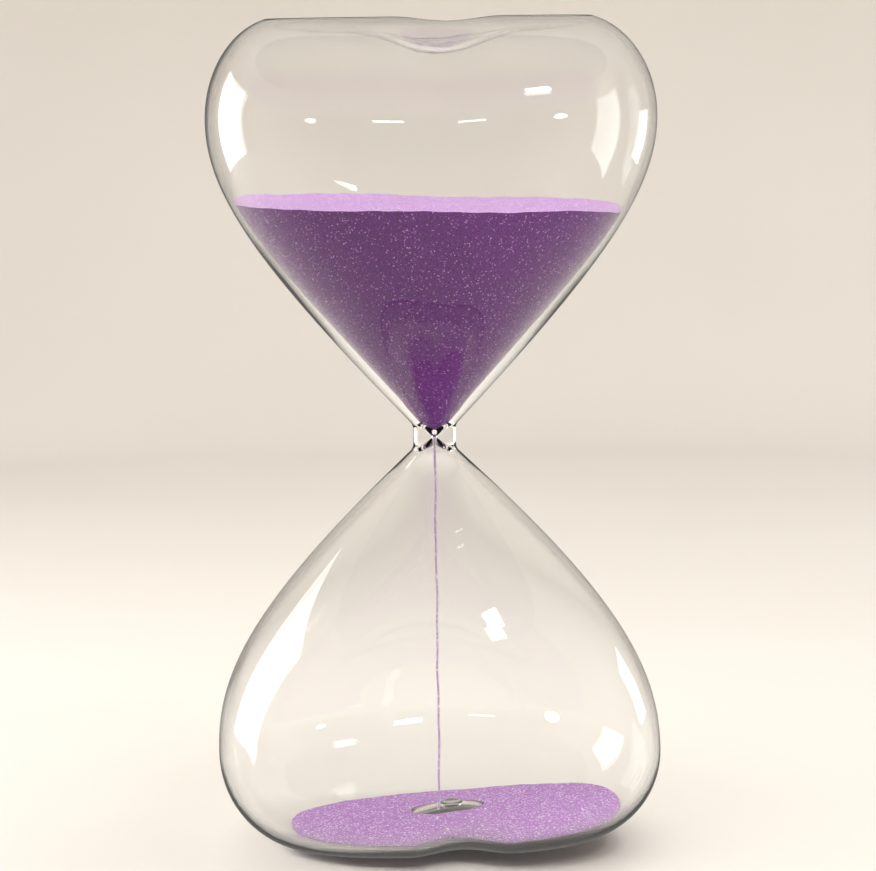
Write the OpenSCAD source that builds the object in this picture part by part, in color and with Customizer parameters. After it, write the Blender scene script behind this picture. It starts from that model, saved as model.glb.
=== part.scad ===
// Heart-ended hourglass: two blown bulbs fused at the neck, with the sand caught mid-run.
// The neck's sand hole is on the Z axis, +X runs from lobe to lobe, -Y is the cleft side.
// Every bulb skin is one grid of rings: [half width, half depth, distance from the hole].

/* [Overall size] */
// Height of the whole hourglass, from lobe to lobe
height = 200; // [170:1:240]
// Width of a bulb across its two lobes, at its widest
bulb_width = 107; // [90:1:125]
// Depth of a bulb from front to back, at its widest
bulb_depth = 94; // [78:1:105]

/* [Bulb shape] */
// Distance from the widest ring of a bulb to its end
end_rise = 24; // [19:1:30]
// How far the upper bulb's shoulder comes in between its side and its end
upper_shoulder_in = 19; // [16:1:28]
// How far the lower bulb's shoulder comes in between its side and its end
lower_shoulder_in = 28; // [18:1:30]
// How pointed the end is when seen from the side, 1 for an ellipse
side_taper = 0.9; // [0.8:0.05:1.6]
// How square a bulb's end is when seen from above, 0 for an oval
end_square = 0.22; // [0:0.02:0.3]
// Height ground off each lobe to give it a flat foot
foot_flat = 0.6; // [0.3:0.1:1]
// Length of the upper cone's straight pull at the neck
upper_cone_pull = 47; // [38:1:55]
// Length of the lower cone's straight pull at the neck
lower_cone_pull = 50; // [38:1:60]
// Length of the straight pull of the cone at the widest ring
side_pull = 16; // [8:1:26]
// Thickness of the blown wall at the neck
neck_wall = 2.2; // [1.4:0.1:3]
// Thickness of the blown wall at a bulb's widest ring
side_wall = 1.2; // [0.9:0.1:2.4]
// Thickness of the blown wall at a bulb's end
end_wall = 1.6; // [1.1:0.1:2.8]

/* [Cleft between the lobes] */
// Depth of the pressed cleft at the front
cleft_front = 2.2; // [0.5:0.1:3]
// Depth of the pressed cleft at the back
cleft_back = 0.4; // [0.2:0.1:3]
// Half width of the cleft
cleft_reach = 13; // [9:1:18]
// Height of the dimple pushed up in the middle of the end
dimple = 5.4; // [2.5:0.1:6]
// Half width of the dimple
dimple_reach = 23; // [16:1:25]
// Half depth of the dimple, front to back
dimple_run = 16; // [10:1:20]
// Distance that cleft and dimple stand off the middle, towards +X
cleft_shift = 3.5; // [0:0.5:5]
// Distance that the dimple stands off the middle, towards the back
dimple_back = 5; // [0:0.5:5]

/* [Neck] */
// Outside diameter of the waist
waist_d = 10.3; // [9:0.1:13]
// Length of the straight part of the waist
waist_len = 3.6; // [2:0.2:6]
// Radius of the hollow curve from the waist to the cone
waist_fillet = 2.5; // [1:0.1:4]
// Diameter of the sand hole
hole_d = 1.1; // [0.8:0.05:2]
// Length of the sand hole
hole_len = 0.6; // [0.4:0.1:1.5]
// Angle of the upper cone at the neck, from the Z axis
upper_cone_angle = 43; // [38:1:48]
// Angle of the lower cone at the neck, from the Z axis
lower_cone_angle = 46; // [38:1:50]
// Distance from the sand hole to the seam where a bulb starts
seam_at = 9; // [8:0.5:12]

/* [Sand] */
// Level of the upper sand above the sand hole, on the Z axis
upper_level = 56; // [30:1:64]
// Slope of the upper sand, down towards +X
upper_slope = 1.8; // [0:0.1:4]
// Depth of the lower sand over the floor of the lobes, on the Z axis
lower_depth = 3.8; // [2.8:0.1:5]
// Slope of the lower sand, up towards +X
lower_slope = 3.4; // [0:0.1:5]
// Diameter of the falling thread of sand
stream_d = 0.8; // [0.5:0.05:1]
// Gap between the sand and the glass
sand_gap = 0.1; // [0.05:0.05:0.3]

/* [Filling seal] */
// Diameter of the flame-sealed pip
seal_d = 5; // [4:0.5:7]
// Height of the pip above the outside of the dimple
seal_h = 1.6; // [1:0.1:2]

/* [Hidden] */
half_height = height / 2;
widest_at = half_height - end_rise;
AROUND = 48;        // points round a ring
CONE_RINGS = 14;    // rings from the seam to the widest ring
SHOULDER_RINGS = 9; // rings from the widest ring to the flat end
END_RINGS = 7;      // rings across the flat end
FILLET_STEPS = 8;   // steps along the neck's hollow curve
DOME_STEPS = 8;     // steps along the seal's dome

// The shoulder is a quarter ellipse, cut off at the flat foot
shoulder_rise = end_rise + foot_flat;
foot_angle = asin(end_rise / shoulder_rise);

// Point [radius, distance from the hole] where the waist's hollow curve has turned by an angle
function fillet_point(angle) =
    [waist_d / 2 + waist_fillet * (1 - cos(angle)), waist_len / 2 + waist_fillet * sin(angle)];
// Radius of the seam, outside and inside, for a cone of that angle
function seam_r(angle) =
    let(e = fillet_point(angle)) e[0] + (seam_at - e[1]) * tan(angle);
function seam_bore_r(angle) = seam_r(angle) - neck_wall / cos(angle);

// 0 below 0, 1 above 1, and a soft S between
function soft(t) = let(c = min(1, max(0, t))) c * c * (3 - 2 * c);
function mix(a, b, t) = a + (b - a) * t;
function bezier(a, b, c, d, t) =
    pow(1 - t, 3) * a + 3 * pow(1 - t, 2) * t * b + 3 * (1 - t) * t * t * c + pow(t, 3) * d;

// One ring of the cone, t from 0 at the seam to 1 at the widest ring
function cone_ring(t, angle, cone_pull) =
    let(start_r = seam_r(angle), pull_r = start_r + cone_pull * sin(angle))
    [bezier(start_r, pull_r, bulb_width / 2, bulb_width / 2, t),
     bezier(start_r, pull_r, bulb_depth / 2, bulb_depth / 2, t),
     bezier(seam_at, seam_at + cone_pull * cos(angle), widest_at - side_pull, widest_at, t)];
// One ring of the shoulder, a from 0 at the widest ring to foot_angle at the end
function shoulder_ring(a, shoulder_in) =
    [bulb_width / 2 - shoulder_in * (1 - cos(a)),
     bulb_depth / 2 * pow(cos(a), side_taper),
     widest_at + shoulder_rise * sin(a)];
// One ring of the flat end, q from 1 at its edge to 0 in the middle
function end_ring(q, shoulder_in) =
    let(edge = shoulder_ring(foot_angle, shoulder_in)) [edge[0] * q, edge[1] * q, edge[2]];
// All the rings of a bulb, from the seam to the middle of its end
function bulb_rings(angle, cone_pull, shoulder_in) = concat(
    [for (i = [0 : CONE_RINGS - 1]) cone_ring(i / CONE_RINGS, angle, cone_pull)],
    [for (i = [0 : SHOULDER_RINGS - 1])
        shoulder_ring(foot_angle * i / SHOULDER_RINGS, shoulder_in)],
    [for (i = [END_RINGS : -1 : 0]) end_ring(i / END_RINGS, shoulder_in)]);

// A bulb is [angle of its cone, its rings]
UPPER = [upper_cone_angle, bulb_rings(upper_cone_angle, upper_cone_pull, upper_shoulder_in)];
LOWER = [lower_cone_angle, bulb_rings(lower_cone_angle, lower_cone_pull, lower_shoulder_in)];
LAST = len(UPPER[1]) - 1;

// Level of the lower sand above the surface that the object stands on
lower_level = end_wall + lower_depth;

// Thickness of the wall at a distance from the hole: the blown belly is thinner than its ends
function wall_at(s) =
    s < widest_at ? mix(neck_wall, side_wall, soft(1.5 * (s - seam_at) / (widest_at - seam_at)))
    : mix(side_wall, end_wall, soft((s - widest_at) / end_rise));
// How far the cleft is pressed in, square to the glass
function cleft(p) =
    mix(cleft_front, cleft_back, soft(0.8 + 2 * p[1] / bulb_depth))
    * soft(1 - abs(p[0] - cleft_shift) / cleft_reach)
    * soft(1.4 * (p[2] - widest_at) / end_rise);
// How far the dimple is pushed in, along the Z axis
function dimple_push(p) =
    p[2] < widest_at ? 0
    : dimple * soft(1 - norm([(p[0] - cleft_shift) / dimple_reach,
                              (p[1] - dimple_back) / dimple_run]));

// A circle's cosine or sine, drawn out to a square as its ring nears the end of the bulb
function squared(c, z) =
    sign(c) * pow(abs(c), 1 - end_square * soft((z - seam_at) / (half_height - seam_at)));
// Direction square to the glass on ring i at angle a, worked out from its neighbour rings
function glass_normal(rings, i, a) =
    let(d = rings[min(i + 1, LAST)] - rings[max(i - 1, 0)],
        r = rings[min(i, LAST - 1)],
        n = [r[1] * d[2] * cos(a), r[0] * d[2] * sin(a),
             -r[0] * d[1] * pow(sin(a), 2) - r[1] * d[0] * pow(cos(a), 2)])
    n / norm(n);
// Point of the glass on ring i at angle a: depth is 0 on its outer skin and 1 on its inner,
// and gap is how far past that the point lies
function skin(bulb, i, a, depth, gap = 0) =
    let(r = bulb[1][i],
        inset = depth * wall_at(r[2]) + gap,
        base = [r[0] * squared(cos(a), r[2]), r[1] * squared(sin(a), r[2]), r[2]])
    i == 0 ? [base[0], base[1], 0] * (1 - inset / cos(bulb[0]) / r[0]) + [0, 0, r[2]]
    : base - glass_normal(bulb[1], i, a) * (cleft(base) + inset) - [0, 0, dimple_push(base)];

// Rows of points, one for each ring from the seam to the last before the middle
function skin_rows(bulb, depth, gap = 0) =
    [for (i = [0 : LAST - 1], j = [0 : AROUND - 1])
        skin(bulb, i, 360 * j / AROUND, depth, gap)];
// Triangles between two rows of points that start at a and b, seen clockwise from outside
function band(a, b) =
    [for (j = [0 : AROUND - 1]) let(k = (j + 1) % AROUND)
        each [[a + j, b + k, a + k], [a + j, b + j, b + k]]];
function bands(start, count) =
    [for (i = [0 : count - 1]) each band(start + i * AROUND, start + (i + 1) * AROUND)];
// Triangles from a row of points to one point
function fan(a, tip) = [for (j = [0 : AROUND - 1]) [a + j, tip, a + (j + 1) % AROUND]];
function turned(faces) = [for (f = faces) [f[0], f[2], f[1]]];

// Hollow bulb, from the seam up to its end
module bulb_glass(bulb) {
    outer = skin_rows(bulb, 0);
    inner = len(outer);
    pole = 2 * inner;
    last_row = (LAST - 1) * AROUND;
    points = concat(outer, skin_rows(bulb, 1),
        [skin(bulb, LAST, 0, 0), skin(bulb, LAST, 0, 1)]);
    faces = concat(
        bands(0, LAST - 1), fan(last_row, pole),
        turned(bands(inner, LAST - 1)), turned(fan(inner + last_row, pole + 1)),
        turned(band(0, inner)));
    polyhedron(points, faces);
}

// Everything inside a bulb, from the sand hole to its end, clear of the glass by sand_gap
module bulb_hollow(bulb) {
    tip_r = hole_d / 2 - sand_gap;
    tip = [for (j = [0 : AROUND - 1]) let(a = 360 * j / AROUND)
        [tip_r * cos(a), tip_r * sin(a), hole_len / 2]];
    rows = concat(tip, skin_rows(bulb, 1, sand_gap));
    pole = len(rows);
    points = concat(rows,
        [skin(bulb, LAST, 0, 1, sand_gap), [0, 0, hole_len / 2]]);
    polyhedron(points, concat(bands(0, LAST), fan(LAST * AROUND, pole), turned(fan(0, pole + 1))));
}

// Block that keeps what lies under a level that slopes by `slope` degrees along X
module under_level(level, slope) {
    translate([0, 0, level]) rotate([0, slope, 0])
        translate([-height, -height, -2 * height]) cube(2 * height);
}

// Profile of one half of the throat: waist, fillet and cone outside, bore and cone inside
// side is 1 for the upper half and -1 for the lower
function throat_side(side, angle) = concat(
    [[hole_d / 2, side * hole_len / 2],
     [seam_bore_r(angle), side * seam_at],
     [seam_r(angle), side * seam_at]],
    [for (k = [FILLET_STEPS : -1 : 0]) let(p = fillet_point(angle * k / FILLET_STEPS))
        [p[0], side * p[1]]]);

module upper_bulb() {
    color("white", 0.3) translate([0, 0, half_height]) bulb_glass(UPPER);
}

module lower_bulb() {
    color("white", 0.3) difference() {
        translate([0, 0, half_height]) mirror([0, 0, 1]) bulb_glass(LOWER);
        translate([cleft_shift, dimple_back, 0]) cylinder(h = end_rise, d = seal_d, $fn = 48);
    }
}

module throat() {
    lower = throat_side(-1, lower_cone_angle);
    upper = throat_side(1, upper_cone_angle);
    color("lightcyan", 0.5) translate([0, 0, half_height]) rotate_extrude($fn = 96)
        polygon(concat(upper, [for (k = [len(lower) - 1 : -1 : 0]) lower[k]]));
}

// Plug that fills the filling hole through the wall, domed outside and blunt inside
module filling_seal() {
    top = [cleft_shift, dimple_back, half_height];
    color("white", 0.5) translate([top[0], top[1], cleft(top) + dimple_push(top)])
        rotate_extrude($fn = 48)
            polygon(concat([[0, end_wall + seal_h / 2], [0, -seal_h]],
                [for (k = [1 : DOME_STEPS]) let(a = 90 * k / DOME_STEPS)
                    [seal_d / 2 * sin(a), -seal_h * cos(a)]],
                [[seal_d / 2, end_wall]]));
}

module upper_sand() {
    color("rebeccapurple") translate([0, 0, half_height]) intersection() {
        bulb_hollow(UPPER);
        under_level(upper_level, upper_slope);
    }
}

module lower_sand() {
    color("mediumpurple") intersection() {
        translate([0, 0, half_height]) mirror([0, 0, 1]) bulb_hollow(LOWER);
        under_level(lower_level, -lower_slope);
    }
}

module sand_stream() {
    floor_z = half_height - skin(LOWER, LAST, 0, 1)[2];
    bottom = max(floor_z, lower_level) + sand_gap;
    top = half_height + hole_len / 2;
    color("plum") translate([0, 0, bottom]) cylinder(h = top - bottom, d = stream_d, $fn = 24);
}

upper_bulb();
lower_bulb();
throat();
filling_seal();
upper_sand();
lower_sand();
sand_stream();
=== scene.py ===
import math
import random

import bpy
from mathutils import Matrix, Vector, noise


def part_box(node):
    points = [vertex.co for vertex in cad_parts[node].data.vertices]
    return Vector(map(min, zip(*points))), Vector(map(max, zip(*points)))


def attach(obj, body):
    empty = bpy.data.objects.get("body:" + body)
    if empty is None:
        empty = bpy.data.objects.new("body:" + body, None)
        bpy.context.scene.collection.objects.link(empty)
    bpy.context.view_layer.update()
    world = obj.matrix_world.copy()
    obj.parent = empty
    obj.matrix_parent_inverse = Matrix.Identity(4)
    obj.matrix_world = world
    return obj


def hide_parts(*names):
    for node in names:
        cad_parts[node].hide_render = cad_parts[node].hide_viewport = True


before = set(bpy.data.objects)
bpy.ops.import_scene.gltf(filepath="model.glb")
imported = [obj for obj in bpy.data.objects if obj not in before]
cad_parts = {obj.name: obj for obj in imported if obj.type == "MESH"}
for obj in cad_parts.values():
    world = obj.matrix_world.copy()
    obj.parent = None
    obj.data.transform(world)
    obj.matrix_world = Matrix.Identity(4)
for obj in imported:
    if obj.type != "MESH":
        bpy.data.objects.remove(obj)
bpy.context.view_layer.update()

MM = 0.001

# Glass envelope: two heart-ended bulbs of clear borosilicate, each blown from tube and
# drawn down to a waist, then fused there in one heat. The glass is one skin from end to
# end, thinnest at the bellies, with a sand hole of a millimetre through the solid neck.
AROUND = 128
_, bulb_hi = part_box("upper_bulb")
neck_lo, neck_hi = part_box("throat")
hole_z = (neck_lo.z + neck_hi.z) / 2
HALF_HEIGHT = bulb_hi.z - hole_z
HALF_WIDTH, HALF_DEPTH = bulb_hi.x, bulb_hi.y
SEAM_AT = neck_hi.z - hole_z
WAIST_RADIUS, WAIST_HALF, WAIST_FILLET = 5.15 * MM, 1.8 * MM, 2.5 * MM
HOLE_RADIUS, HOLE_HALF = 0.55 * MM, 0.3 * MM
SIDE_PULL, END_RISE, FOOT_FLAT = 16 * MM, 24 * MM, 0.6 * MM
SIDE_TAPER, END_SQUARE = 0.9, 0.22
NECK_WALL, SIDE_WALL, END_WALL = 2.2 * MM, 1.2 * MM, 1.6 * MM
CLEFT_FRONT, CLEFT_BACK, CLEFT_REACH = 2.2 * MM, 0.4 * MM, 13 * MM
DIMPLE, DIMPLE_REACH, DIMPLE_RUN = 5.4 * MM, 23 * MM, 16 * MM
PRESS_X, PRESS_Y = 3.5 * MM, 5 * MM
UPPER_CONE, UPPER_PULL, UPPER_SHOULDER = math.radians(43), 47 * MM, 19 * MM
LOWER_CONE, LOWER_PULL, LOWER_SHOULDER = math.radians(46), 50 * MM, 28 * MM
widest_at = HALF_HEIGHT - END_RISE


def soft(t):
    t = min(1.0, max(0.0, t))
    return t * t * (3 - 2 * t)


def pulled(a, b, c, d, t):
    u = 1 - t
    return a * u**3 + 3 * b * u * u * t + 3 * c * u * t * t + d * t**3


def wall_at(rise):
    """Wall of the glass at a height over the sand hole."""
    if rise < widest_at:
        thin = soft(1.5 * (rise - SEAM_AT) / (widest_at - SEAM_AT))
        return NECK_WALL + (SIDE_WALL - NECK_WALL) * thin
    return SIDE_WALL + (END_WALL - SIDE_WALL) * soft((rise - widest_at) / END_RISE)


def tube_ovals(cone_angle, cone_pull, shoulder_in):
    """Half width, half depth and height of the glass, from its waist to the end's middle."""
    ovals = [(WAIST_RADIUS, WAIST_RADIUS, t * WAIST_HALF) for t in (0, 0.35, 0.7, 1)]
    for k in range(1, 9):
        a = cone_angle * k / 8
        r = WAIST_RADIUS + WAIST_FILLET * (1 - math.cos(a))
        ovals.append((r, r, WAIST_HALF + WAIST_FILLET * math.sin(a)))
    bend_r, _, bend_z = ovals[-1]
    seam_r = bend_r + (SEAM_AT - bend_z) * math.tan(cone_angle)
    for t in (0.33, 0.67):
        r = bend_r + (seam_r - bend_r) * t
        ovals.append((r, r, bend_z + (SEAM_AT - bend_z) * t))
    pull_r = seam_r + cone_pull * math.sin(cone_angle)
    pull_z = SEAM_AT + cone_pull * math.cos(cone_angle)
    for k in range(28):
        t = k / 28
        ovals.append(
            (
                pulled(seam_r, pull_r, HALF_WIDTH, HALF_WIDTH, t),
                pulled(seam_r, pull_r, HALF_DEPTH, HALF_DEPTH, t),
                pulled(SEAM_AT, pull_z, widest_at - SIDE_PULL, widest_at, t),
            )
        )
    foot_angle = math.asin(END_RISE / (END_RISE + FOOT_FLAT))
    for k in range(21):
        a = foot_angle * k / 20
        ovals.append(
            (
                HALF_WIDTH - shoulder_in * (1 - math.cos(a)),
                HALF_DEPTH * math.cos(a) ** SIDE_TAPER,
                widest_at + (END_RISE + FOOT_FLAT) * math.sin(a),
            )
        )
    wide, deep, rise = ovals[-1]
    ovals += [(wide * k / 16, deep * k / 16, rise) for k in range(15, 0, -1)]
    return ovals, seam_r


def draw_out(old, new):
    """Pulls the open edge of the tube out from one oval to the next."""
    bpy.ops.mesh.extrude_region_move(
        TRANSFORM_OT_translate={"value": (0, 0, new[2] - old[2])}
    )
    bpy.ops.transform.resize(
        value=(new[0] / old[0], new[1] / old[1], 1), center_override=(0, 0, new[2])
    )


def only(piece):
    """Selects the piece alone and makes it the active one."""
    bpy.ops.object.select_all(action="DESELECT")
    piece.select_set(True)
    bpy.context.view_layer.objects.active = piece


def flip(piece):
    """Turns every face of the piece to look the other way."""
    only(piece)
    bpy.ops.object.mode_set(mode="EDIT")
    bpy.ops.mesh.select_all(action="SELECT")
    bpy.ops.mesh.flip_normals()
    bpy.ops.object.mode_set(mode="OBJECT")


def turn_out(piece):
    """Makes every face of the piece look outwards, by the way its end looks."""
    only(piece)
    bpy.ops.object.mode_set(mode="EDIT")
    bpy.ops.mesh.select_all(action="SELECT")
    bpy.ops.mesh.normals_make_consistent(inside=False)
    bpy.ops.object.mode_set(mode="OBJECT")
    if max(piece.data.vertices, key=lambda v: (v.co.z, -abs(v.co.x))).normal.z < 0:
        flip(piece)


def faced(piece):
    """Each vertex of the piece with the way that its surface faces there."""
    piece.data.update()
    ways = [v.normal.copy() for v in piece.data.vertices]
    return zip(piece.data.vertices, ways)


def press_end(piece, ovals):
    """Squares the hot end, cleaves it from the front and pushes its middle in."""
    for v in piece.data.vertices:
        wide, deep, _ = min(ovals, key=lambda o: abs(o[2] - v.co.z))
        turn = math.atan2(v.co.y / deep, v.co.x / wide)
        draw = -END_SQUARE * soft((v.co.z - SEAM_AT) / (HALF_HEIGHT - SEAM_AT))
        v.co.x *= max(abs(math.cos(turn)), 1e-4) ** draw
        v.co.y *= max(abs(math.sin(turn)), 1e-4) ** draw
    for v, way in faced(piece):
        back = soft(0.8 + v.co.y / HALF_DEPTH)
        cleft = CLEFT_FRONT + (CLEFT_BACK - CLEFT_FRONT) * back
        cleft *= soft(1 - abs(v.co.x - PRESS_X) / CLEFT_REACH)
        cleft *= soft(1.4 * (v.co.z - widest_at) / END_RISE)
        away = math.hypot(
            (v.co.x - PRESS_X) / DIMPLE_REACH, (v.co.y - PRESS_Y) / DIMPLE_RUN
        )
        push = DIMPLE * soft(1 - away) if v.co.z > widest_at else 0
        v.co -= way * cleft + Vector((0, 0, push))


def blow_bulb(name, cone_angle, cone_pull, shoulder_in):
    """Outer skin of one half, from the waist to the end, and the skin of the room inside."""
    ovals, seam_r = tube_ovals(cone_angle, cone_pull, shoulder_in)
    bpy.ops.object.select_all(action="DESELECT")
    bpy.ops.mesh.primitive_circle_add(vertices=AROUND, radius=WAIST_RADIUS)
    outer = bpy.context.object
    outer.name = name
    bpy.ops.object.mode_set(mode="EDIT")
    bpy.ops.mesh.select_mode(type="EDGE")
    bpy.ops.mesh.select_all(action="SELECT")
    for old, new in zip(ovals, ovals[1:]):
        draw_out(old, new)
    bpy.ops.mesh.extrude_region_move(TRANSFORM_OT_translate={"value": (0, 0, 0)})
    bpy.ops.mesh.merge(type="CENTER")
    bpy.ops.object.mode_set(mode="OBJECT")
    turn_out(outer)
    heights = [v.co.z for v in outer.data.vertices]
    press_end(outer, ovals)

    # The room's skin is the outer one drawn in by the wall, then run down to the sand hole.
    bpy.ops.object.duplicate()
    room = bpy.context.object
    room.name = name + "_room"
    for (v, way), rise in zip(faced(room), heights):
        v.co -= way * wall_at(rise)
    bpy.ops.object.mode_set(mode="EDIT")
    bpy.ops.mesh.select_mode(type="VERT")
    bpy.ops.mesh.select_all(action="DESELECT")
    bpy.ops.object.mode_set(mode="OBJECT")
    for v, rise in zip(room.data.vertices, heights):
        v.select = rise < SEAM_AT - 0.01 * MM
    bpy.ops.object.mode_set(mode="EDIT")
    bpy.ops.mesh.delete(type="VERT")
    bpy.ops.mesh.select_non_manifold(
        use_wire=False, use_multi_face=False, use_verts=False
    )
    rim_r = seam_r - NECK_WALL * math.cos(cone_angle)
    bore_r = seam_r - NECK_WALL / math.cos(cone_angle)
    bore = [(rim_r, rim_r, SEAM_AT + NECK_WALL * math.sin(cone_angle))]
    for t in (0, 0.15, 0.3, 0.45, 0.6, 0.75, 0.88, 0.96, 1):
        r = bore_r + (HOLE_RADIUS - bore_r) * t
        bore.append((r, r, SEAM_AT + (HOLE_HALF - SEAM_AT) * t))
    bore.append((HOLE_RADIUS, HOLE_RADIUS, 0))
    for old, new in zip(bore, bore[1:]):
        draw_out(old, new)
    bpy.ops.object.mode_set(mode="OBJECT")

    # The rim of the hole is trued, so that the two rooms meet there vertex on vertex.
    for v in room.data.vertices:
        if v.co.z < HOLE_HALF / 3:
            true = HOLE_RADIUS / math.hypot(v.co.x, v.co.y)
            v.co = Vector((v.co.x * true, v.co.y * true, 0))
    return outer, room


def turn_over(piece):
    """Turns a piece that was made end up to stand end down."""
    for v in piece.data.vertices:
        v.co.z = -v.co.z
    flip(piece)


def set_at_hole(piece):
    """Lifts a piece that was made about the sand hole to the hole's own height."""
    only(piece)
    bpy.ops.object.mode_set(mode="EDIT")
    bpy.ops.mesh.select_all(action="SELECT")
    bpy.ops.transform.translate(value=(0, 0, hole_z))
    bpy.ops.object.mode_set(mode="OBJECT")


glass, upper_room = blow_bulb(
    "glass_envelope", UPPER_CONE, UPPER_PULL, UPPER_SHOULDER
)
lower_half, lower_room = blow_bulb(
    "lower_half", LOWER_CONE, LOWER_PULL, LOWER_SHOULDER
)
turn_over(lower_half)
turn_over(lower_room)
skins = [glass, lower_half]
for room in (upper_room, lower_room):
    only(room)
    bpy.ops.object.duplicate()
    inside = bpy.context.object
    flip(inside)
    skins.append(inside)
bpy.ops.object.select_all(action="DESELECT")
for skin in skins:
    skin.select_set(True)
bpy.context.view_layer.objects.active = glass
bpy.ops.object.join()
bpy.ops.object.mode_set(mode="EDIT")
bpy.ops.mesh.select_mode(type="VERT")
bpy.ops.mesh.select_all(action="SELECT")
bpy.ops.mesh.remove_doubles(threshold=0.001 * MM)
bpy.ops.object.mode_set(mode="OBJECT")
for piece in (glass, upper_room, lower_room):
    set_at_hole(piece)
only(glass)
bpy.ops.object.shade_smooth()

clear = bpy.data.materials.new("clear_blown_glass")
clear.use_nodes = True
tree = clear.node_tree
body = tree.nodes["Principled BSDF"]
body.inputs["Base Color"].default_value = (0.985, 0.988, 0.985, 1)
body.inputs["Roughness"].default_value = 0.0
body.inputs["IOR"].default_value = 1.47
body.inputs["Transmission Weight"].default_value = 1.0
where = tree.nodes.new("ShaderNodeTexCoord")
stretch = tree.nodes.new("ShaderNodeMapping")
stretch.inputs["Scale"].default_value = (1, 1, 0.55)
drift = tree.nodes.new("ShaderNodeTexNoise")
drift.inputs["Scale"].default_value = 34
drift.inputs["Detail"].default_value = 1.5
ripple = tree.nodes.new("ShaderNodeBump")
ripple.inputs["Strength"].default_value = 0.12
ripple.inputs["Distance"].default_value = 0.6 * MM
through = tree.nodes.new("ShaderNodeBsdfTransparent")
through.inputs["Color"].default_value = (0.95, 0.95, 0.95, 1)
ray = tree.nodes.new("ShaderNodeLightPath")
lamp_path = tree.nodes.new("ShaderNodeMixShader")
out = tree.nodes["Material Output"]
tree.links.new(where.outputs["Object"], stretch.inputs["Vector"])
tree.links.new(stretch.outputs["Vector"], drift.inputs["Vector"])
tree.links.new(drift.outputs["Fac"], ripple.inputs["Height"])
tree.links.new(ripple.outputs["Normal"], body.inputs["Normal"])
tree.links.new(ray.outputs["Is Shadow Ray"], lamp_path.inputs["Fac"])
tree.links.new(body.outputs["BSDF"], lamp_path.inputs[1])
tree.links.new(through.outputs["BSDF"], lamp_path.inputs[2])
tree.links.new(lamp_path.outputs["Shader"], out.inputs["Surface"])
glass.data.materials.clear()
glass.data.materials.append(clear)
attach(glass, "root")
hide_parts("upper_bulb", "lower_bulb", "throat")

# Filling seal: the pip of glass left where the filling hole in the foot was melted shut
# with a flame once the sand was in. It is domed below and blunt on the inside.
pip_lo, pip_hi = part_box("filling_seal")
pip_x, pip_y = (pip_lo.x + pip_hi.x) / 2, (pip_lo.y + pip_hi.y) / 2
PIP_RADIUS = (pip_hi.x - pip_lo.x) / 2
bpy.ops.object.select_all(action="DESELECT")
bpy.ops.mesh.primitive_uv_sphere_add(
    segments=48, ring_count=24, radius=1, location=(0, 0, 0)
)
pip = bpy.context.object
pip.name = "filling_seal_pip"
half = (pip_hi.z - pip_lo.z) / 2
for v in pip.data.vertices:
    round_z = math.copysign(abs(v.co.z) ** 0.8, v.co.z)
    v.co = Vector(
        (
            pip_x + v.co.x * PIP_RADIUS,
            pip_y + v.co.y * PIP_RADIUS,
            pip_lo.z + half * (1 + round_z),
        )
    )
bpy.ops.object.shade_smooth()
pip.data.materials.append(clear)
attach(pip, "root")
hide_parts("filling_seal")

# Upper sand: fine violet dyed quartz, settled against the glass and down into the neck.
# Its face has sunk to a slight slope, ruffled where the bulb was last turned over.
SAND_GAP = 0.1 * MM
fill_lo, fill_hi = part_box("upper_sand")
UPPER_SLOPE = -math.tan(math.radians(1.8))
upper_level = fill_hi.z + UPPER_SLOPE * -fill_lo.x


def close_room(piece):
    """Makes the room a closed solid, drawn in a little from the glass."""
    for v, way in faced(piece):
        v.co -= way * SAND_GAP
    only(piece)
    bpy.ops.object.mode_set(mode="EDIT")
    bpy.ops.mesh.select_mode(type="EDGE")
    bpy.ops.mesh.select_all(action="DESELECT")
    bpy.ops.mesh.select_non_manifold(
        use_wire=False, use_multi_face=False, use_verts=False
    )
    bpy.ops.mesh.edge_face_add()
    bpy.ops.mesh.select_all(action="SELECT")
    bpy.ops.mesh.normals_make_consistent(inside=False)
    bpy.ops.object.mode_set(mode="OBJECT")


def pour(name, level, slope, deep, ruffle, room):
    """Sand that fills the room up to a ruffled, sloping level."""
    bpy.ops.object.select_all(action="DESELECT")
    bpy.ops.mesh.primitive_grid_add(
        x_subdivisions=190, y_subdivisions=170, size=1, location=(0, 0, 0)
    )
    sand = bpy.context.object
    sand.name = name
    for v in sand.data.vertices:
        v.co.x *= 2.1 * HALF_WIDTH
        v.co.y *= 2.1 * HALF_DEPTH
        v.co.z = level + slope * v.co.x + ruffle(v.co.x, v.co.y)
    bpy.ops.object.mode_set(mode="EDIT")
    bpy.ops.mesh.select_all(action="SELECT")
    bpy.ops.mesh.extrude_region_move(
        TRANSFORM_OT_translate={"value": (0, 0, -deep)}
    )
    bpy.ops.mesh.select_all(action="SELECT")
    bpy.ops.mesh.normals_make_consistent(inside=False)
    bpy.ops.object.mode_set(mode="OBJECT")
    fit = sand.modifiers.new("fit", "BOOLEAN")
    fit.operation = "INTERSECT"
    fit.solver = "MANIFOLD"
    fit.object = room
    bpy.ops.object.modifier_apply(modifier="fit")
    bpy.data.objects.remove(room)
    bpy.ops.object.shade_smooth_by_angle(angle=math.radians(40))
    return sand


def upper_ruffle(x, y):
    wave = noise.noise(Vector((x * 38, y * 30, 1.7))) * 0.9 * MM
    fine = noise.noise(Vector((x * 210, y * 180, 4.1))) * 0.22 * MM
    return wave + fine


close_room(upper_room)
upper_sand = pour(
    "upper_sand_fill", upper_level, UPPER_SLOPE, 62 * MM, upper_ruffle, upper_room
)


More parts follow.
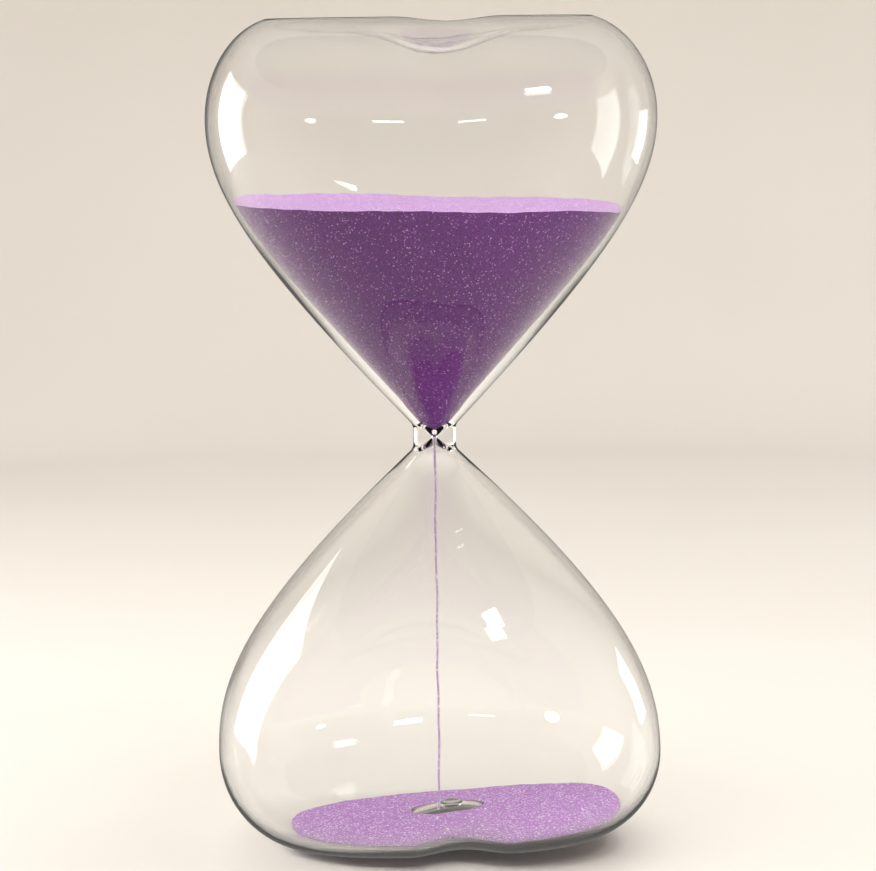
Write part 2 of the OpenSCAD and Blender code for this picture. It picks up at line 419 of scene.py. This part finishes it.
def sand_grain():
    """Shader group: the colour, gloss and relief of dyed grains, a random share of them
    glossier and with their colour painted towards the glint colour as painted highlights.
    """
    group = bpy.data.node_groups.new("dyed_grains", "ShaderNodeTree")
    sockets = group.interface
    for name, kind in (
        ("Grain Scale", "NodeSocketFloat"),
        ("Dark", "NodeSocketColor"),
        ("Light", "NodeSocketColor"),
        ("Glint", "NodeSocketColor"),
        ("Glint Share", "NodeSocketFloat"),
    ):
        sockets.new_socket(name=name, in_out="INPUT", socket_type=kind)
    sockets.new_socket(name="Color", in_out="OUTPUT", socket_type="NodeSocketColor")
    sockets.new_socket(name="Roughness", in_out="OUTPUT", socket_type="NodeSocketFloat")
    sockets.new_socket(name="Height", in_out="OUTPUT", socket_type="NodeSocketFloat")
    n, l = group.nodes, group.links
    given, made = n.new("NodeGroupInput"), n.new("NodeGroupOutput")
    spot = n.new("ShaderNodeTexCoord")
    cells = n.new("ShaderNodeTexVoronoi")
    cells.feature = "F1"
    split = n.new("ShaderNodeSeparateColor")
    tone = n.new("ShaderNodeMix")
    tone.data_type = "RGBA"
    cloud = n.new("ShaderNodeTexNoise")
    cloud.inputs["Scale"].default_value = 55
    cloud.inputs["Detail"].default_value = 3
    blend = n.new("ShaderNodeMath")
    blend.operation = "MULTIPLY_ADD"
    blend.inputs[1].default_value = 0.65
    even = n.new("ShaderNodeMath")
    even.operation = "MULTIPLY_ADD"
    even.inputs[1].default_value = 0.35
    even.inputs[2].default_value = 0.0
    chance = n.new("ShaderNodeMath")
    chance.operation = "LESS_THAN"
    strength = n.new("ShaderNodeMath")
    strength.operation = "MULTIPLY"
    painted_glint_mix = n.new("ShaderNodeMix")
    painted_glint_mix.data_type = "RGBA"
    gloss = n.new("ShaderNodeMapRange")
    gloss.inputs["To Min"].default_value = 0.85
    gloss.inputs["To Max"].default_value = 0.25
    l.new(spot.outputs["Object"], cells.inputs["Vector"])
    l.new(spot.outputs["Object"], cloud.inputs["Vector"])
    l.new(given.outputs["Grain Scale"], cells.inputs["Scale"])
    l.new(cells.outputs["Color"], split.inputs["Color"])
    l.new(cloud.outputs["Fac"], even.inputs[0])
    l.new(split.outputs["Red"], blend.inputs[0])
    l.new(even.outputs["Value"], blend.inputs[2])
    l.new(blend.outputs["Value"], tone.inputs["Factor"])
    l.new(given.outputs["Dark"], tone.inputs["A"])
    l.new(given.outputs["Light"], tone.inputs["B"])
    # Painted highlight: a random share of grains has its colour mixed towards the bright glint
    # colour.
    l.new(split.outputs["Green"], chance.inputs[0])
    l.new(given.outputs["Glint Share"], chance.inputs[1])
    l.new(chance.outputs["Value"], strength.inputs[0])
    l.new(split.outputs["Blue"], strength.inputs[1])
    l.new(strength.outputs["Value"], painted_glint_mix.inputs["Factor"])
    l.new(tone.outputs["Result"], painted_glint_mix.inputs["A"])
    l.new(given.outputs["Glint"], painted_glint_mix.inputs["B"])
    l.new(chance.outputs["Value"], gloss.inputs["Value"])
    l.new(painted_glint_mix.outputs["Result"], made.inputs["Color"])
    l.new(gloss.outputs["Result"], made.inputs["Roughness"])
    l.new(cells.outputs["Distance"], made.inputs["Height"])
    return group


def sand_finish(name, grains, scale, dark, light, painted_glint, share):
    """Violet sand material with its own tone and a share of grains painted bright as glints, a
    painted highlight.
    """
    finish = bpy.data.materials.new(name)
    finish.use_nodes = True
    nodes, links = finish.node_tree.nodes, finish.node_tree.links
    body = nodes["Principled BSDF"]
    body.inputs["IOR"].default_value = 1.46
    body.inputs["Specular IOR Level"].default_value = 0.25
    grain = nodes.new("ShaderNodeGroup")
    grain.node_tree = grains
    grain.inputs["Grain Scale"].default_value = scale
    grain.inputs["Dark"].default_value = (*dark, 1)
    grain.inputs["Light"].default_value = (*light, 1)
    grain.inputs["Glint"].default_value = (*painted_glint, 1)
    grain.inputs["Glint Share"].default_value = share
    bump = nodes.new("ShaderNodeBump")
    bump.inputs["Strength"].default_value = 0.6
    bump.inputs["Distance"].default_value = 0.25 * MM
    links.new(grain.outputs["Color"], body.inputs["Base Color"])
    links.new(grain.outputs["Roughness"], body.inputs["Roughness"])
    links.new(grain.outputs["Height"], bump.inputs["Height"])
    links.new(bump.outputs["Normal"], body.inputs["Normal"])
    return finish


def top_it_off(sand, shade_finish, light_finish, level, slope):
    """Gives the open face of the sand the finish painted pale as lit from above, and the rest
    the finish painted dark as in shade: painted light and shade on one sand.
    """
    sand.data.materials.clear()
    sand.data.materials.append(shade_finish)
    sand.data.materials.append(light_finish)
    for face in sand.data.polygons:
        above = face.center.z - level - slope * face.center.x
        face.material_index = int(face.normal.z > 0.6 and above > -0.8 * MM)


grains = sand_grain()
# One violet sand in three painted copies: the sides and underside painted dark as in shade,
# the open top of the upper sand painted pale as lit from above, and the top of the pool
# painted a little less pale. The larger share of glints on the tops is painted highlight too.
shade_painted_violet = sand_finish(
    "violet_sand_painted_shade", grains, 3800,
    (0.10, 0.007, 0.135), (0.21, 0.022, 0.30), (0.78, 0.36, 0.88), 0.07,
)
top_light_painted_violet = sand_finish(
    "violet_sand_painted_top_light", grains, 3000,
    (0.39, 0.17, 0.48), (0.65, 0.36, 0.73), (1.0, 0.92, 1.0), 0.25,
)
pool_light_painted_violet = sand_finish(
    "violet_sand_painted_pool_light", grains, 3000,
    (0.29, 0.11, 0.36), (0.50, 0.24, 0.58), (1.0, 0.92, 1.0), 0.20,
)
top_it_off(upper_sand, shade_painted_violet, top_light_painted_violet, upper_level, UPPER_SLOPE)
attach(upper_sand, "root")
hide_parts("upper_sand")

# Lower sand: what has run through so far. It lies in the two lobes of the foot as a
# shallow pool, and the top of the dimple pokes through it as a bare island of glass.
_, pool_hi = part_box("lower_sand")
LOWER_SLOPE = math.tan(math.radians(3.4))
lower_level = pool_hi.z - LOWER_SLOPE * pool_hi.x


def lower_ruffle(x, y):
    wave = noise.noise(Vector((x * 30, y * 26, 7.3))) * 0.5 * MM
    fine = noise.noise(Vector((x * 190, y * 170, 2.9))) * 0.16 * MM
    return wave + fine


close_room(lower_room)
lower_sand = pour(
    "lower_sand_pool", lower_level, LOWER_SLOPE, 14 * MM, lower_ruffle, lower_room
)
# The pool's open top gets the copy painted as lit, the rest the copy painted as shaded.
top_it_off(lower_sand, shade_painted_violet, pool_light_painted_violet, lower_level, LOWER_SLOPE)
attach(lower_sand, "root")
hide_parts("lower_sand")

# Falling thread: the sand in flight, hair-thin and a little unsteady, from the sand hole
# down to the pool.
fall_lo, fall_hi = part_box("sand_stream")
FALL_RADIUS, SWAY, SHAKE = 0.28 * MM, 0.1 * MM, 0.03 * MM
rng = random.Random(7)
bpy.ops.object.select_all(action="DESELECT")
bpy.ops.mesh.primitive_circle_add(
    vertices=10, radius=FALL_RADIUS, fill_type="NGON", location=(0, 0, fall_hi.z)
)
thread = bpy.context.object
thread.name = "sand_thread"
bpy.ops.object.transform_apply(location=True)
bpy.ops.object.mode_set(mode="EDIT")
bpy.ops.mesh.select_all(action="SELECT")
STEPS = 90
drop = (fall_hi.z - fall_lo.z) / STEPS
at_x = at_y = 0.0
for k in range(STEPS):
    sway = SWAY * soft(k / 12)
    new_x = sway * (math.sin(k * 0.21) + 0.6 * math.sin(k * 0.53 + 1))
    new_x += rng.uniform(-SHAKE, SHAKE)
    new_y = sway * math.cos(k * 0.17) + rng.uniform(-SHAKE, SHAKE)
    bpy.ops.mesh.extrude_region_move(
        TRANSFORM_OT_translate={"value": (new_x - at_x, new_y - at_y, -drop)}
    )
    at_x, at_y = new_x, new_y
bpy.ops.mesh.select_all(action="SELECT")
bpy.ops.mesh.normals_make_consistent(inside=False)
bpy.ops.object.mode_set(mode="OBJECT")
bpy.ops.object.shade_smooth_by_angle(angle=math.radians(50))
# The falling thread's tone is paler than the packed sand's, and a share of its grains is
# painted bright as glints, a painted highlight.
falling = sand_finish(
    "falling_sand", grains, 2400,
    (0.50, 0.32, 0.55), (0.75, 0.58, 0.80), (1.0, 0.95, 1.0), 0.2,
)
thread.data.materials.append(falling)
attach(thread, "root")
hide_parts("sand_stream")

# Studio floor: a seamless pale board that the hourglass stands on, turned up all round
# into a wall. The wall shows only from inside, so it never hides the object, and its
# colour is painted darker behind the camera, a painted shade that keeps the front of the glass
# free of haze.
FLOOR_RADIUS, FLOOR_BEND, FLOOR_WALL = 0.75, 0.25, 1.1
FLOOR_DROP, BEND_STEPS = 0.2 * MM, 20
bpy.ops.object.select_all(action="DESELECT")
bpy.ops.mesh.primitive_circle_add(
    vertices=128, radius=FLOOR_RADIUS, fill_type="NGON", location=(0, 0, -FLOOR_DROP)
)
floor = bpy.context.object
floor.name = "studio_floor"
bpy.ops.object.transform_apply(location=True)
bpy.ops.object.mode_set(mode="EDIT")
bpy.ops.mesh.select_mode(type="EDGE")
bpy.ops.mesh.select_all(action="SELECT")
bpy.ops.mesh.extrude_edges_move()
turned = [math.radians(90 * k / BEND_STEPS) for k in range(BEND_STEPS + 1)]
rim = [
    (FLOOR_RADIUS + FLOOR_BEND * math.sin(a), FLOOR_BEND * (1 - math.cos(a)))
    for a in turned
]
rim.append((rim[-1][0], FLOOR_WALL))
for (old_r, old_z), (new_r, new_z) in zip(rim, rim[1:]):
    bpy.ops.mesh.extrude_region_move(
        TRANSFORM_OT_translate={"value": (0, 0, new_z - old_z)}
    )
    bpy.ops.transform.resize(
        value=(new_r / old_r, new_r / old_r, 1), center_override=(0, 0, new_z)
    )
bpy.ops.mesh.select_all(action="SELECT")
bpy.ops.mesh.remove_doubles(threshold=0.01 * MM)
bpy.ops.mesh.normals_make_consistent(inside=True)
bpy.ops.object.mode_set(mode="OBJECT")
if floor.data.polygons[0].normal.z < 0:
    flip(floor)
bpy.ops.object.shade_smooth_by_angle(angle=math.radians(30))
board = bpy.data.materials.new("pale_board")
board.use_nodes = True
nodes, links = board.node_tree.nodes, board.node_tree.links
paint = nodes["Principled BSDF"]
paint.inputs["Roughness"].default_value = 0.6
spot = nodes.new("ShaderNodeTexCoord")
mottle = nodes.new("ShaderNodeTexNoise")
mottle.inputs["Scale"].default_value = 5
shade = nodes.new("ShaderNodeValToRGB")
shade.color_ramp.elements[0].color = (0.73, 0.685, 0.625, 1)
shade.color_ramp.elements[1].color = (0.79, 0.745, 0.685, 1)
axes = nodes.new("ShaderNodeSeparateXYZ")
# Painted shade: the board's colour is scaled down towards the camera side.
painted_shade_falloff = nodes.new("ShaderNodeMapRange")
painted_shade_falloff.inputs["From Min"].default_value = -0.85
painted_shade_falloff.inputs["From Max"].default_value = -0.15
painted_shade_falloff.inputs["To Min"].default_value = 0.25
board_with_painted_shade = nodes.new("ShaderNodeVectorMath")
board_with_painted_shade.operation = "SCALE"
side = nodes.new("ShaderNodeNewGeometry")
unseen = nodes.new("ShaderNodeBsdfTransparent")
one_sided = nodes.new("ShaderNodeMixShader")
links.new(spot.outputs["Object"], mottle.inputs["Vector"])
links.new(mottle.outputs["Fac"], shade.inputs["Fac"])
links.new(spot.outputs["Object"], axes.inputs["Vector"])
links.new(axes.outputs["Y"], painted_shade_falloff.inputs["Value"])
links.new(shade.outputs["Color"], board_with_painted_shade.inputs[0])
links.new(painted_shade_falloff.outputs["Result"], board_with_painted_shade.inputs["Scale"])
links.new(board_with_painted_shade.outputs["Vector"], paint.inputs["Base Color"])
links.new(side.outputs["Backfacing"], one_sided.inputs["Fac"])
links.new(paint.outputs["BSDF"], one_sided.inputs[1])
links.new(unseen.outputs["BSDF"], one_sided.inputs[2])
links.new(one_sided.outputs["Shader"], nodes["Material Output"].inputs["Surface"])
floor.data.materials.append(board)
floor.visible_glossy = False


def softbox(name, place, aim, size, glow, shape="RECTANGLE"):
    """Area lamp at place, turned to aim, glow being how bright its face is."""
    data = bpy.data.lights.new(name, "AREA")
    data.shape = shape
    data.size, data.size_y = size
    data.energy = glow * math.pi * size[0] * size[1]
    lamp = bpy.data.objects.new(name, data)
    bpy.context.scene.collection.objects.link(lamp)
    lamp.location = place
    lamp.rotation_mode = "QUATERNION"
    lamp.rotation_quaternion = (Vector(aim) - Vector(place)).to_track_quat("-Z", "Y")
    return lamp


# Soft studio light: a tall box at the left rear, one low at the right rear, two broad ones
# overhead that the glass doesn't mirror, and three small lamps for the sparks on it.
softbox("left_box", (-0.50, 0.27, 0.20), (0, 0, 0.12), (0.32, 0.42), 3.4)
softbox("right_box", (0.50, 0.30, 0.10), (0, 0, 0.1), (0.12, 0.17), 3.0)
top_box = softbox("top_box", (0.05, -0.1, 0.75), (0, 0, 0.1), (0.45, 0.4), 3.8)
sky_box = softbox("sky_box", (0, 0, 1.25), (0, 0, 0), (1.7, 1.7), 1.55)
for box in (top_box, sky_box):
    box.visible_glossy = False
    box.visible_transmission = False
softbox("top_spark", (0.30, -0.36, 0.62), (0, 0, 0.1), (0.12, 0.07), 24)
softbox("front_lamp", (-0.16, -0.88, 0.21), (0, 0, 0.15), (0.17, 0.04), 24)
softbox("side_lamp", (0.60, -0.62, 0.22), (0, 0, 0.12), (0.11, 0.08), 24, shape="ELLIPSE")

world = bpy.data.worlds.new("studio_air")
world.use_nodes = True
world.node_tree.nodes["Background"].inputs["Color"].default_value = (1.0, 0.96, 0.91, 1)
world.node_tree.nodes["Background"].inputs["Strength"].default_value = 0.24
bpy.context.scene.world = world
bpy.context.scene.view_settings.view_transform = "Standard"

# Camera: a little to the left of square-on and seven degrees above level.
TILT, AZIMUTH, ROLL = math.radians(6.984), math.radians(-5), math.radians(0.8)
PLACE = Vector((-61.7, -715.0, 187.95)) * MM
LENS, SENSOR = 123.3, 36
back = Vector(
    (
        math.sin(AZIMUTH) * math.cos(TILT),
        -math.cos(AZIMUTH) * math.cos(TILT),
        math.sin(TILT),
    )
)
level = Vector((math.cos(AZIMUTH), math.sin(AZIMUTH), 0))
upward = back.cross(level)
right = level * math.cos(ROLL) - upward * math.sin(ROLL)
top = level * math.sin(ROLL) + upward * math.cos(ROLL)
camera = bpy.data.objects.new("camera", bpy.data.cameras.new("camera"))
bpy.context.scene.collection.objects.link(camera)
camera.matrix_world = Matrix(
    (
        (right.x, top.x, back.x, PLACE.x),
        (right.y, top.y, back.y, PLACE.y),
        (right.z, top.z, back.z, PLACE.z),
        (0, 0, 0, 1),
    )
)
camera.data.lens = LENS
camera.data.sensor_width = SENSOR
camera.data.clip_start = 0.01
bpy.context.scene.camera = camera
